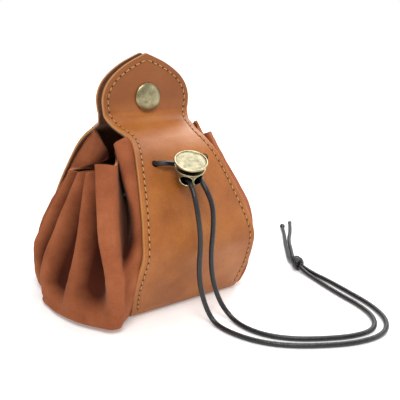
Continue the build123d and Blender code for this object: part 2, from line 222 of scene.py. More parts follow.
# ---------------------------------------------------------------- materials
def leather_material():
    """Smooth oiled leather with clouded colour, painted shade on the upright head, a darker seam, fine grain
    and pale cut edges.
    """
    mat, tree, bsdf = shader("smooth_leather", (0.42, 0.15, 0.035), 0.4)
    at = place(tree)
    clouds = grain(tree, at, 38.0, 5.0, 0.6)
    base = ramp(tree, clouds, [
        (0.3, (0.27, 0.078, 0.014)), (0.52, (0.37, 0.118, 0.022)), (0.74, (0.45, 0.165, 0.036)),
    ])
    pores = ramp(tree, grain(tree, at, 1300.0, 2.0), [(0.35, 0.86), (0.6, 1.0)])
    base = mixed(tree, 1.0, base, pores, "MULTIPLY")
    # painted shade: the upright head is tinted darker and more orange
    head = mixed(tree, attribute(tree, "head"), base, mixed(tree, 0.7, base, (0.19, 0.052, 0.008)))
    near_seam = mixed(tree, attribute(tree, "seam"), head, mixed(tree, 0.45, head, (0.20, 0.06, 0.014)))
    colour = mixed(tree, attribute(tree, "edge"), near_seam, (0.47, 0.20, 0.055))
    tree.links.new(colour, bsdf.inputs["Base Color"])
    rough = ramp(tree, grain(tree, at, 90.0, 4.0), [(0.3, 0.36), (0.7, 0.52)])
    tree.links.new(rough, bsdf.inputs["Roughness"])
    bsdf.inputs["Specular IOR Level"].default_value = 0.34
    bumped(tree, bsdf, [
        (grain(tree, at, 260.0, 3.0), 0.25, 0.0002), (cells(tree, at, 1500.0), 0.22, 0.00008),
        (grain(tree, at, 2600.0, 2.0), 0.25, 0.00005),
    ])
    return mat


def lining_material():
    """The flesh side of the lining leather, dark and napped."""
    mat, tree, bsdf = shader("lining_leather", (0.13, 0.048, 0.018), 0.75)
    at = place(tree)
    nap = grain(tree, at, 900.0, 3.0)
    colour = ramp(tree, nap, [(0.3, (0.095, 0.033, 0.012)), (0.7, (0.17, 0.064, 0.024))])
    tree.links.new(colour, bsdf.inputs["Base Color"])
    bumped(tree, bsdf, [(nap, 0.4, 0.0002)])
    return mat


def suede_material(name, dark, mid, light):
    """Short napped suede: fine mottling, a soft sheen, and painted shade darkening it down in the folds."""
    mat, tree, bsdf = shader(name, mid, 0.92)
    at = place(tree)
    clouds = grain(tree, at, 60.0, 4.0, 0.6)
    base = ramp(tree, clouds, [(0.32, dark), (0.52, mid), (0.74, light)])
    nap = ramp(tree, grain(tree, at, 2200.0, 3.0, 0.7), [(0.32, 0.72), (0.66, 1.0)])
    base = mixed(tree, 1.0, base, nap, "MULTIPLY")
    # painted shade: the suede darkens down in the valleys, by how deep each point lies in its fold
    folds = ramp(tree, attribute(tree, "deep"), [(0.06, (1.0, 1.0, 1.0)), (0.62, (0.17, 0.10, 0.085))])
    tree.links.new(mixed(tree, 1.0, base, folds, "MULTIPLY"), bsdf.inputs["Base Color"])
    bsdf.inputs["Sheen Weight"].default_value = 0.08
    bsdf.inputs["Sheen Roughness"].default_value = 0.45
    bsdf.inputs["Sheen Tint"].default_value = (1.0, 0.62, 0.42, 1)
    bsdf.inputs["Specular IOR Level"].default_value = 0.12
    bumped(tree, bsdf, [(clouds, 0.15, 0.0006), (grain(tree, at, 1700.0, 3.0, 0.7), 0.5, 0.00015)])
    return mat


def brass_material(name, patina, mid, worn, roughness):
    """Antique brass: dark patina in clouds, brighter where it is rubbed."""
    mat, tree, bsdf = shader(name, mid, roughness, 1.0)
    at = place(tree)
    clouds = grain(tree, at, 330.0, 6.0, 0.7)
    base = ramp(tree, clouds, [(0.3, patina), (0.5, mid), (0.72, worn)])
    specks = ramp(tree, grain(tree, at, 2400.0, 3.0), [(0.32, 0.55), (0.5, 1.0)])
    tree.links.new(mixed(tree, 0.7, base, specks, "MULTIPLY"), bsdf.inputs["Base Color"])
    rough = ramp(tree, clouds, [(0.3, roughness + 0.14), (0.7, roughness - 0.06)])
    tree.links.new(rough, bsdf.inputs["Roughness"])
    bumped(tree, bsdf, [(grain(tree, at, 900.0, 4.0), 0.18, 0.00015)])
    return mat


def thread_material():
    """Waxed sewing thread with the bands of its plies."""
    mat, tree, bsdf = shader("thread", (0.50, 0.25, 0.075), 0.6)
    at = place(tree)
    plies = add(tree, "ShaderNodeTexWave", {"Vector": at, "Scale": 520.0, "Distortion": 2.0}).outputs["Fac"]
    colour = ramp(tree, plies, [(0.2, (0.36, 0.155, 0.038)), (0.7, (0.60, 0.32, 0.10))])
    tree.links.new(colour, bsdf.inputs["Base Color"])
    bumped(tree, bsdf, [(plies, 0.5, 0.0001)])
    return mat


def hole_shade_material():
    """Painted shade in a needle hole: near-black, with a fine mottle."""
    mat, tree, bsdf = shader("needle_hole_shade", (0.035, 0.012, 0.005), 0.85)
    at = place(tree)
    shade_mottle = grain(tree, at, 3000.0, 2.0)
    colour = ramp(tree, shade_mottle, [(0.3, (0.02, 0.007, 0.003)), (0.7, (0.07, 0.022, 0.008))])
    tree.links.new(colour, bsdf.inputs["Base Color"])
    return mat


def cord_material():
    """Black waxed cord with a tight braid."""
    mat, tree, bsdf = shader("waxed_cord", (0.012, 0.012, 0.013), 0.38)
    at = place(tree)
    braid = cells(tree, at, 1250.0)
    colour = ramp(tree, braid, [(0.15, (0.016, 0.016, 0.017)), (0.6, (0.003, 0.003, 0.004))])
    tree.links.new(colour, bsdf.inputs["Base Color"])
    bsdf.inputs["Coat Weight"].default_value = 0.12
    bsdf.inputs["Coat Roughness"].default_value = 0.3
    bumped(tree, bsdf, [(braid, 0.6, 0.0002)])
    return mat


def steel_material():
    """Drawn spring wire."""
    mat, tree, bsdf = shader("spring_steel", (0.45, 0.43, 0.40), 0.3, 1.0)
    at = place(tree)
    drawn = grain(tree, at, 1500.0, 3.0)
    tree.links.new(ramp(tree, drawn, [(0.3, 0.25), (0.7, 0.4)]), bsdf.inputs["Roughness"])
    bumped(tree, bsdf, [(drawn, 0.1, 0.00005)])
    return mat


LEATHER_MAT = leather_material()
LINING_MAT = lining_material()
SUEDE_MAT = suede_material("suede", (0.265, 0.075, 0.030), (0.345, 0.104, 0.042), (0.420, 0.136, 0.058))
SUEDE_EDGE_MAT = suede_material("suede_edge", (0.42, 0.16, 0.075), (0.52, 0.21, 0.10), (0.60, 0.26, 0.13))
BRASS_MAT = brass_material(
    "antique_brass", (0.19, 0.165, 0.090), (0.30, 0.265, 0.155), (0.42, 0.37, 0.22), 0.36)
PLATE_MAT = brass_material("plate_brass", (0.20, 0.185, 0.115), (0.30, 0.275, 0.18), (0.41, 0.37, 0.24), 0.42)
RUBBED_MAT = brass_material("rubbed_brass", (0.36, 0.30, 0.16), (0.52, 0.45, 0.27), (0.64, 0.57, 0.38), 0.28)
# painted shade: near-black brass for the lock's insides (channel and window walls, the cup's bore and inner
# floor, the button's stem), where there is only shade
INSIDE_SHADE_MAT = brass_material(
    "brass_painted_shade", (0.012, 0.010, 0.007), (0.022, 0.019, 0.013), (0.05, 0.044, 0.03), 0.6)
THREAD_MAT = thread_material()
HOLE_SHADE_MAT = hole_shade_material()
CORD_MAT = cord_material()
STEEL_MAT = steel_material()


# ---------------------------------------------------------------- mesh helpers
# an edge between faces that turn by more than this stays sharp
SHARP_CUT, SHARP_TURNED, SHARP_SUEDE = radians(42), radians(50), radians(60)


def smooth_path(points, steps):
    """A Catmull-Rom curve through the points, with the same number of steps between each pair."""
    p = np.array(points, float)
    p = np.vstack([2 * p[0] - p[1], p, 2 * p[-1] - p[-2]])
    t = np.linspace(0, 1, steps, endpoint=False)[:, None]
    spans = []
    for a, b, c, d in zip(p, p[1:], p[2:], p[3:]):
        square, cube = (2 * a - 5 * b + 4 * c - d) * t**2, (3 * b - a - 3 * c + d) * t**3
        spans.append(0.5 * (2 * b + (c - a) * t + square + cube))
    return np.vstack(spans + [p[-2]])


def mesh_object(name, points, faces, materials, face_materials=None, attributes=None):
    """An object from points in millimetres, smooth shaded, with float attributes on its points."""
    mesh = bpy.data.meshes.new(name)
    mesh.from_pydata((np.asarray(points, float) * MM).tolist(), [], faces)
    for mat in materials:
        mesh.materials.append(mat)
    if face_materials is not None:
        mesh.polygons.foreach_set("material_index", np.asarray(face_materials, np.int32))
    for key, values in (attributes or {}).items():
        mesh.attributes.new(key, "FLOAT", "POINT").data.foreach_set("value", np.asarray(values, np.float32))
    mesh.polygons.foreach_set("use_smooth", [True] * len(mesh.polygons))
    mesh.update()
    made = bpy.data.objects.new(name, mesh)
    bpy.context.scene.collection.objects.link(made)
    return made


def with_modifier(made, kind, **settings):
    """Adds a modifier and applies it."""
    modifier = made.modifiers.new(kind.lower(), kind)
    for key, value in settings.items():
        setattr(modifier, key, value)
    graph = bpy.context.evaluated_depsgraph_get()
    changed = bpy.data.meshes.new_from_object(made.evaluated_get(graph))
    made.modifiers.clear()
    old = made.data
    made.data = changed
    bpy.data.meshes.remove(old)
    return made


def cut(made, tool):
    """Cuts the tool's shape out of the object and removes the tool."""
    with_modifier(made, "BOOLEAN", object=tool, operation="DIFFERENCE", solver="EXACT")
    bpy.data.objects.remove(tool)
    made.data.set_sharp_from_angle(angle=SHARP_CUT)
    return made


def ring_faces(rings, around, closed_rings=False):
    """Quads between closed rings of points; closed_rings joins the last ring to the first."""
    last = rings if closed_rings else rings - 1
    faces = []
    for i in range(last):
        a, b = i * around, (i + 1) % rings * around
        for k in range(around):
            n = (k + 1) % around
            faces.append((a + k, a + n, b + n, b + k))
    return faces


def caps(rings, around):
    """The two end faces of a row of rings."""
    first = (rings - 1) * around
    return [tuple(range(around - 1, -1, -1)), tuple(range(first, first + around))]


def flipped(faces):
    return [face[::-1] for face in faces]


def joined(shapes):
    """Several (points, faces) as one."""
    points, faces = [], []
    for more_points, more_faces in shapes:
        faces += [tuple(i + len(points) for i in face) for face in more_faces]
        points += more_points
    return points, faces


def finished(made, body, replaced=()):
    """Hangs a piece on the body it rides on and hides the CAD nodes it stands for."""
    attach(made, body)
    if replaced:
        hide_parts(*replaced)
    return made


# ---------------------------------------------------------------- free cords and the drawstring
def nurbs(name, points, diameter=CORD_D, cyclic=False):
    """A round cord along one smooth spline."""
    curve = bpy.data.curves.new(name, "CURVE")
    curve.dimensions = "3D"
    curve.bevel_depth = diameter / 2
    curve.bevel_resolution = 5
    curve.use_fill_caps = not cyclic
    curve.materials.append(CORD_MAT)
    spline = curve.splines.new("NURBS")
    spline.points.add(len(points) - 1)
    for point, co in zip(spline.points, points):
        point.co = (*co, 1)
    spline.order_u = 3
    spline.use_endpoint_u = not cyclic
    spline.use_cyclic_u = cyclic
    spline.resolution_u = 14
    made = bpy.data.objects.new(name, curve)
    bpy.context.scene.collection.objects.link(made)
    return made


def pouch_cord(name, points, node, cyclic=False):
    return finished(nurbs(name, points, cyclic=cyclic), "pouch", [node])


left_strand = pouch_cord("left_cord", LEFT_ROUTE, "left_strand")
right_strand = pouch_cord("right_cord", RIGHT_ROUTE, "right_strand")
left_tail = pouch_cord("left_cord_tail", LEFT_TAIL, "left_tail")
right_tail = pouch_cord("right_cord_tail", RIGHT_TAIL, "right_tail")
drawstring_points = DRAWSTRING_HALF + [(-x, y, z) for x, y, z in reversed(DRAWSTRING_HALF)]
drawstring = pouch_cord("drawstring_cord", drawstring_points, "drawstring")


def knot_points(turns=2.7, steps=34, girth=0.00262, length=0.0062):
    """An overhand knot drawn tight: slanting wraps round both cords, its own ends tucked in the middle."""
    up = Vector((0, 0, 1))
    across = KNOT_ALONG.cross(up)
    points = []
    for i in range(steps):
        share = i / (steps - 1)
        turn = 2 * pi * turns * share
        out = girth * min(1.0, 0.35 + 6 * min(share, 1 - share))
        slant = 0.0008 * sin(turn + 0.7)
        along = KNOT_ALONG * ((share - 0.5) * length + slant)
        points.append(KNOT_AT + along + across * (out * cos(turn)) + up * (out * sin(turn)))
    return points + [KNOT_AT + KNOT_ALONG * reach for reach in (0.0018, 0.0, -0.0018)]


knot = pouch_cord("overhand_knot", knot_points(), "knot", cyclic=True)


def melted_end(name, route, radius, length, around=16):
    """The melted bead that closes a cord's end."""
    end, before = Vector(route[-1]), Vector(route[-2])
    along = (end - before).normalized()
    girths = [(0.0, 0.02), (0.06, 0.55), (0.2, 0.86), (0.42, 1.0), (0.66, 0.94), (0.86, 0.74), (1.0, 0.64)]
    centre = Vector((end.x, end.y, max(end.z, radius))) / MM
    across = along.cross(Vector((0, 0, 1))).normalized()
    up = across.cross(along)
    points = []
    for share, girth in girths:
        for k in range(around):
            angle = 2 * pi * k / around
            lump = 1 + 0.09 * sin(3 * angle + 9 * share)
            out = (across * cos(angle) + up * sin(angle)) * (radius / MM * girth * lump)
            points.append(centre + along * ((0.5 - share) * length / MM) + out)
    faces = ring_faces(len(girths), around) + caps(len(girths), around)
    return finished(mesh_object(name, points, faces, [CORD_MAT]), "pouch")


left_bead = melted_end("left_cord_end", LEFT_TAIL, 0.0019, 0.0046)
right_bead = melted_end("right_cord_end", RIGHT_TAIL, 0.00155, 0.0034)


# ---------------------------------------------------------------- leather strap
def strap_path():
    """The strap's outer face from the side, front tip to back tip: distances walked and (y, z) points."""
    front = smooth_path([(-y, z) for y, z in SIDE], 24)
    head = np.array([(-HEAD_Y, z) for z in np.arange(TIP_Z, SIDE[0][1], -0.5)])
    floor = np.array([(y, 0.0) for y in np.arange(-SIDE[-1][0] + 1.0, 0.0, 1.0)])
    half = np.vstack([head, front, floor])
    whole = np.vstack([half, [(0.0, 0.0)], half[::-1] * (-1, 1)])
    walked = np.concatenate([[0], np.cumsum(np.linalg.norm(np.diff(whole, axis=0), axis=1))])
    return walked, whole


WALKED, PROFILE = strap_path()
STRAP_LENGTH = WALKED[-1]
OUTLINE_CURVE = smooth_path(OUTLINE, 16)


def on_profile(s, reach=0.6):
    """The strap's outer face at a distance along it: (y, z) and its outward normal."""
    s = np.atleast_1d(s)
    behind, here, ahead = (
        np.stack([np.interp(at, WALKED, PROFILE[:, i]) for i in (0, 1)], 1)
        for at in (s - reach, s, s + reach)
    )
    along = ahead - behind
    along /= np.maximum(np.linalg.norm(along, axis=1), 1e-9)[:, None]
    return here, np.stack([along[:, 1], -along[:, 0]], 1)


def half_width(s):
    """Half the strap's width at a distance along it."""
    z = np.interp(s, WALKED, PROFILE[:, 1])
    return np.interp(-z, -OUTLINE_CURVE[:, 1], OUTLINE_CURVE[:, 0])


def seam_line():
    """The seam down the left edge in the flattened strap: (x, s), from the tip to near the floor."""
    floor_s = WALKED[np.argmax(PROFILE[:, 1] < 4.0)]
    s = np.linspace(0.0, floor_s, 1200)
    w = half_width(s)
    slope = np.gradient(w, s)
    size = np.sqrt(1 + slope**2)
    line = np.stack([-w + STITCH_INSET / size, s + STITCH_INSET * slope / size], 1)
    line = line[(line[:, 0] < -0.4) & (line[:, 1] < floor_s)]
    keep = [line[0]]
    for point in line[1:]:
        if point[1] > keep[-1][1]:
            keep.append(point)
    return np.array(keep)


SEAM = seam_line()


def to_seam(x, s):
    """Distance in the flattened strap to the nearest seam."""
    s = np.minimum(s, STRAP_LENGTH - s)
    at = np.stack([-np.abs(x), s], 1)
    coarse = SEAM[::3]
    return np.array([np.min(np.hypot(*(coarse - p).T)) for p in at])


CROWN, WAVES = 0.5, 0.35  # heights of the outer face's soft crown and slow waves


def relief(x, s):
    """How far the outer face stands proud of the plain profile."""
    w = np.maximum(half_width(s), 1.0)
    from_tip = np.minimum(s, STRAP_LENGTH - s)
    crown = CROWN * (1 - (x / w) ** 2) * np.clip((from_tip - 34) / 20, 0, 1)
    waves = np.array([noise.noise((a * 0.05, b * 0.045, 3.7)) for a, b in zip(x, s)])
    return crown + WAVES * waves * np.clip((from_tip - 30) / 15, 0.15, 1)


def on_strap(x, s, depth):
    """Points on the strap, a depth in from its outer face; the relief fades out where the strap lies flat."""
    here, normal = on_profile(s)
    out = relief(x, s) * np.clip(here[:, 1] / 4.0, 0, 1) - depth
    return np.stack([x, here[:, 0] + normal[:, 0] * out, here[:, 1] + normal[:, 1] * out], 1)


# across a layer: distances in from its edge, and its rounded rim as (distance in, share of the thickness)
EDGE_STEPS = [0.7, 1.0, 1.4, 1.9, 2.3, 2.65, 3.0, 3.35, 3.7, 4.1, 4.7, 5.6, 7.0, 9.0, 12.0]
RIM = [(0.0, 0.5), (0.0, 0.28), (0.1, 0.09), (0.3, 0.0)]
NARROW = 14.0  # where the strap is narrower than this, the steps are drawn together
# the seam is pressed in, and the leather beside it is darker
GROOVE, GROOVE_REACH, STAIN_REACH = 0.16, 0.75, 0.9
EDGE_REACH = 0.35  # the cut edge's pale band
HEAD_SHADE_END, HEAD_SHADE_FADE = 31.0, 8.0  # the head is painted a little darker, as painted shade


def layer(name, rows, depth, thickness, inset, mat, groove=0.0):
    """Part of one layer of the strap: a band with rounded edges, open at its two hidden ends."""
    points, seams, edges, head_shades = [], [], [], []
    for s in rows:
        w = max(float(half_width(s)) - inset, 0.0)
        squeeze = min(1.0, w / NARROW)
        flat = w - EDGE_STEPS[-1] * squeeze
        right = [(w - d * squeeze, depth + t * thickness) for d, t in RIM]
        right += [(w - d * squeeze, depth) for d in EDGE_STEPS]
        right += [(flat * k / 4, depth) for k in (3, 2, 1, 0)]
        upper = right + [(-x, d) for x, d in reversed(right[:-1])]
        lower = [(x, 2 * depth + thickness - d) for x, d in reversed(upper[1:-1])]
        x, depths = np.array(upper + lower).T
        around = len(x)
        at = np.full(around, s)
        near = to_seam(x, at)
        top = np.arange(around) < len(upper)
        pressed = np.where(top, groove * np.exp(-(near / GROOVE_REACH) ** 2), 0)
        points.append(on_strap(x, at, depths + pressed))
        seams.append(np.where(top, np.exp(-(near / STAIN_REACH) ** 2), 0))
        edges.append(np.clip(1.35 - (w - np.abs(x)) / EDGE_REACH, 0, 1))
        # painted shade: how much the head is darkened
        from_tip = min(s, STRAP_LENGTH - s)
        head_shades.append(np.full(around, np.clip((HEAD_SHADE_END - from_tip) / HEAD_SHADE_FADE, 0, 1)))
    shades = {"seam": np.concatenate(seams), "edge": np.concatenate(edges), "head": np.concatenate(head_shades)}
    return mesh_object(name, np.vstack(points), ring_faces(len(rows), around), [mat], attributes=shades)


def outer_layer(name, rows):
    return layer(name, rows, 0.0, LEATHER, 0.0, LEATHER_MAT, GROOVE)


def inner_layer(name, rows):
    return layer(name, rows, LEATHER, LINING, 0.12, LINING_MAT)


def height_to_s(z):
    """Distance along the front of the strap down to a height."""
    half = len(WALKED) // 2
    return float(np.interp(-z, -PROFILE[:half, 1], WALKED[:half]))


COLLAR_Z, MID_NECK_Z = 84.4, 93.4  # where the body's layers meet the neck's, and the neck's the head's
S_COLLAR, S_NECK = height_to_s(COLLAR_Z), height_to_s(MID_NECK_Z)
ROW = 0.8
FACING = {"front": -1, "back": 1}
HEAD_ROWS = np.concatenate([np.arange(0, 6, 0.3), np.arange(6, S_NECK, ROW), [S_NECK]])
COLLAR_ROWS = np.concatenate([np.arange(S_NECK, S_COLLAR, ROW), [S_COLLAR]])
BODY_ROWS = np.linspace(S_COLLAR, STRAP_LENGTH - S_COLLAR, int((STRAP_LENGTH - 2 * S_COLLAR) / 0.95))


def neck_blend(made, side):
    """Bakes a neck piece's placement into its mesh; it does not bend it."""
    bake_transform(made)


def head_blend(made, side):
    """Bakes a head piece's placement into its mesh; it does not bend it."""
    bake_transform(made)


BENDS = {"neck": neck_blend, "head": head_blend}


def prism(name, points, mats=(), index=0, turned_out=False):
    """A tool for cut(), closed between two equal rings of points; the cut walls take its material index."""
    around = len(points) // 2
    faces = ring_faces(2, around) + caps(2, around)
    return mesh_object(name, points, flipped(faces) if turned_out else faces, mats, [index] * len(faces))


def circle(radius, around):
    return [(radius * cos(2 * pi * k / around), radius * sin(2 * pi * k / around)) for k in range(around)]


def punched(made):
    """Punches the two cord holes through the front of a body layer."""
    outward = Vector((0, -0.707, 0.707))
    for x in (-15.0, 15.0):
        turn = Vector((0, 0, 1)).rotation_difference(outward).to_matrix().to_4x4()
        base = Matrix.Translation((x, -34.9, 75.6)) @ turn
        points = [base @ Vector((a, b, h)) for h in (-6, 6) for a, b in circle(CORD_HOLE_R, 32)]
        cut(made, prism("punch", points))
    return made


def strap():
    body = punched(outer_layer("strap_leather", BODY_ROWS))
    finished(body, "pouch", ["strap_body"])
    inner = punched(inner_layer("strap_inner_lining", BODY_ROWS))
    finished(inner, "pouch", ["strap_lining"])
    for side in FACING:
        for part, part_rows in (("neck", COLLAR_ROWS), ("head", HEAD_ROWS)):
            rows = part_rows if side == "front" else (STRAP_LENGTH - part_rows)[::-1]
            for made, slot, node in (
                (outer_layer(f"{side}_{part}_leather", rows), "smooth_leather", f"{side}_{part}"),
                (inner_layer(f"{side}_{part}_inner", rows), "lining_leather", f"{side}_{part}_lining"),
            ):
                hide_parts(node)
                BENDS[part](made, side)


strap()


# ---------------------------------------------------------------- stitching
def capsule(centre, along, outward, radius, length, flatten=1.0, rings=7, around=10):
    """A short round-ended bar; flatten presses it towards the surface under it."""
    across = along.cross(outward).normalized()
    outward = across.cross(along).normalized()
    points = []
    for i in range(rings):
        t = -1 + 2 * i / (rings - 1)
        girth = radius * max(1 - abs(t) ** 3.2, 0.02) ** 0.5
        for k in range(around):
            a = 2 * pi * k / around
            point = centre + along * (t * length / 2) + across * (girth * cos(a))
            points.append(point + outward * (girth * sin(a) * flatten))
    return points, flipped(ring_faces(rings, around) + caps(rings, around))


def seam_marks():
    """Places along the left seam: (x, s, direction in the flattened strap, "stitch" or "hole")."""
    steps = np.linalg.norm(np.diff(SEAM, axis=0), axis=1)
    walked = np.concatenate([[0], np.cumsum(steps)])
    marks = []
    count = int(walked[-1] / STITCH_PITCH)
    for i in range(count):
        for share, kind in ((0.5, "stitch"), (1.0, "hole")):
            at = (i + share) * STITCH_PITCH
            x, s = np.interp(at, walked, SEAM[:, 0]), np.interp(at, walked, SEAM[:, 1])
            ahead = min(at + 0.8, walked[-1])
            direction = (np.interp(ahead, walked, SEAM[:, 0]) - x, np.interp(ahead, walked, SEAM[:, 1]) - s)
            marks.append((float(x), float(s), direction, kind))
    return marks


def one(x, s):
    """One point on the strap's outer face."""
    return Vector(on_strap(np.array([x]), np.array([s]), np.zeros(1))[0])


STITCH_LEAN = 0.14
PART_GAP = 0.6  # a mark this near a cut between two parts goes with the lower one


def stitching():
    """Thread and needle holes of each part of the strap, front and back; the holes are dark bars of painted
    shade.
    """
    bars = {}
    for x, s, (dx, ds), kind in seam_marks():
        part = "head" if s < S_NECK - PART_GAP else ("neck" if s < S_COLLAR - PART_GAP else "body")
        for mirrored in (1, -1):
            for side, facing in FACING.items():
                along_s, step = (s, ds) if side == "front" else (STRAP_LENGTH - s, -ds)
                centre = one(x * mirrored, along_s)
                lean = STITCH_LEAN * (dx + abs(ds))
                along = (one((x + dx + lean) * mirrored, along_s + step) - centre).normalized()
                beside = one((x + 0.8) * mirrored, along_s) - one((x - 0.8) * mirrored, along_s)
                outward = along.cross(beside).normalized()
                if outward.dot(Vector((0, facing, 0.35))) < 0:
                    outward = -outward
                if kind == "stitch":
                    bar = capsule(centre + outward * 0.02, along, outward, THREAD_R, STITCH_LENGTH, 0.9)
                else:
                    # a needle hole: a dark flattened bar set just under the face, as painted shade in the
                    # hole
                    bar = capsule(centre - outward * 0.1, along, outward, 0.5, 1.15, 0.35, rings=5, around=8)
                bars.setdefault((side, part), {"stitch": [], "hole": []})[kind].append(bar)
    front, back = bars.pop(("front", "body")), bars.pop(("back", "body"))
    thread = mesh_object("body_thread", *joined(front["stitch"] + back["stitch"]), [THREAD_MAT])
    finished(thread, "pouch", ["body_stitches"])
    holes = mesh_object("body_needle_holes", *joined(front["hole"] + back["hole"]), [HOLE_SHADE_MAT])
    finished(holes, "pouch")
    for (side, part), found in bars.items():
        thread = mesh_object(f"{side}_{part}_thread", *joined(found["stitch"]), [THREAD_MAT])
        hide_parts(f"{side}_{part}_stitches")
        holes = mesh_object(f"{side}_{part}_needle_holes", *joined(found["hole"]), [HOLE_SHADE_MAT])
        for made in (thread, holes):
            BENDS[part](made, side)


stitching()

# ---------------------------------------------------------------- gathered suede sides
# each line runs from the rim down a ridge or a valley, under the bag and to the seam: (x outwards, y, z)
FRONT_SEAM = [
    (21.5, -19.6, 88), (20.2, -26, 82.6), (24, -36.4, 70), (27.4, -44, 57), (30.4, -50, 44),
    (32.8, -51.6, 33), (33.6, -46, 18), (33, -39.6, 6), (31.8, -35.8, 1.4),
]
BACK_SEAM = [(x, -y, z) for x, y, z in FRONT_SEAM]
LEFT_FRONT = [
    ("ridge", [
        (31, -24, 86), (31.2, -29.6, 77), (31.5, -35.6, 66), (31.2, -41, 55.4), (32.2, -46.6, 44.6),
        (34.8, -51.2, 34), (36.4, -48.8, 17), (36.2, -42.6, 4), (31.8, -34.6, 1.2)]),
    ("valley", [
        (23.5, -12, 80), (24.5, -17, 70), (25.5, -23, 58), (28.6, -31, 45.6), (36.2, -42.6, 37),
        (40.8, -51.2, 29.5), (41.2, -50, 14.5), (40.4, -45, 2.4), (31.8, -31.5, 1.2)]),
    ("ridge", [
        (33.2, -30.6, 77.2), (36, -35.6, 67), (39.4, -41.4, 56), (41.8, -46, 45.6), (43, -49.4, 35),
        (43.6, -51.4, 23), (43.6, -51, 11), (43, -47.4, 1.6), (31.8, -28.5, 1.2)]),
    ("ridge", [
        (39.6, -32.6, 78.4), (42.4, -37.2, 67.8), (45.6, -42.6, 56.6), (47.8, -47, 45.6), (47.6, -50, 33.6),
        (46.8, -51, 21), (46.4, -50.6, 10), (46, -47.2, 1.5), (31.8, -25.5, 1.2)]),
    ("ridge", [
        (45.1, -31, 78.8), (47.4, -36.2, 68.2), (50.2, -41.4, 57), (51.7, -45.2, 45.6), (51.2, -47.8, 33.2),
        (49.8, -49, 20.4), (49, -48.6, 9.6), (48.6, -45.6, 1.6), (31.8, -22.5, 1.2)]),
    ("valley", [
        (30, -23, 75), (32, -26, 65), (35, -29.5, 53), (39, -33, 40), (44, -36, 28),
        (49, -38, 17), (53, -38.4, 8), (53.6, -37.6, 1.6), (31.8, -18.5, 1.2)]),
    ("ridge", [
        (42.5, -15, 71.6), (46, -17, 60.4), (50.4, -20, 45.4), (54.1, -22, 33.4), (57.8, -23.4, 22.6),
        (60.6, -24.4, 13.6), (60.6, -25, 6.2), (57.8, -26, 1.6), (31.8, -12.5, 1.2)]),
    ("valley", [
        (29, -10, 70.6), (31, -11, 60), (36, -12, 46), (42.5, -12.6, 33), (49.6, -13, 22),
        (56.6, -13, 11), (60, -13, 5), (60.4, -12.6, 1.5), (31.8, -6.5, 1.2)]),
]
MIDDLE = [
    ("ridge", [
        (40.4, 0, 68.6), (45.1, 1, 58), (52.2, 2, 43), (58.8, 3, 28.6), (62.2, 3, 17.4),
        (62.6, 2.6, 8.4), (62, 1.6, 3.8), (60, 1, 1.4), (31.8, 0.5, 1.2)]),
    ("valley", [
        (27, 7.5, 63.4), (31, 8, 55.6), (37, 9.6, 44), (44.6, 11.6, 31), (51.5, 13, 20),
        (56, 13.4, 10), (57, 13.2, 4.4), (55.6, 12.6, 1.5), (31.8, 7, 1.2)]),
]
BACK = [
    ("ridge", [
        (38, 15.5, 67), (41.6, 17.8, 59), (48.1, 21, 46), (53.2, 24, 34.6), (56.8, 25.6, 26),
        (58, 25.6, 15), (57, 25, 6), (53, 23, 1.6), (31.8, 13, 1.2)]),
    ("valley", [
        (21.6, 21.5, 64.8), (26.4, 25, 56.6), (33, 30, 45), (39, 34, 32), (44.4, 36.4, 20),
        (47.6, 36.4, 10), (48, 35.4, 4.4), (45, 32, 1.6), (31.8, 19, 1.2)]),
    ("ridge", [
        (28.8, 31, 63.4), (33, 36.6, 56), (38.4, 42.4, 45), (43, 46, 34), (46.4, 47.6, 23),
        (46.8, 46.8, 11), (45, 43, 4), (41.6, 36.6, 1.6), (31.8, 24.5, 1.2)]),
    ("valley", [
        (16.6, 14, 70.4), (19.6, 20.6, 62), (24.6, 29.6, 51), (30, 38.6, 40), (35.4, 45, 29),
        (38.6, 46.6, 17), (38.8, 44, 8), (37.4, 38.6, 2), (31.8, 29.5, 1.2)]),
    ("ridge", [
        (18.4, 15, 79.4), (20.4, 22.6, 71.6), (25, 32.6, 60), (29.4, 41, 48.4), (32.6, 47, 38),
        (35, 49.6, 27), (36.4, 47.4, 14), (35.6, 41, 4), (31.8, 33.4, 1.2)]),
]
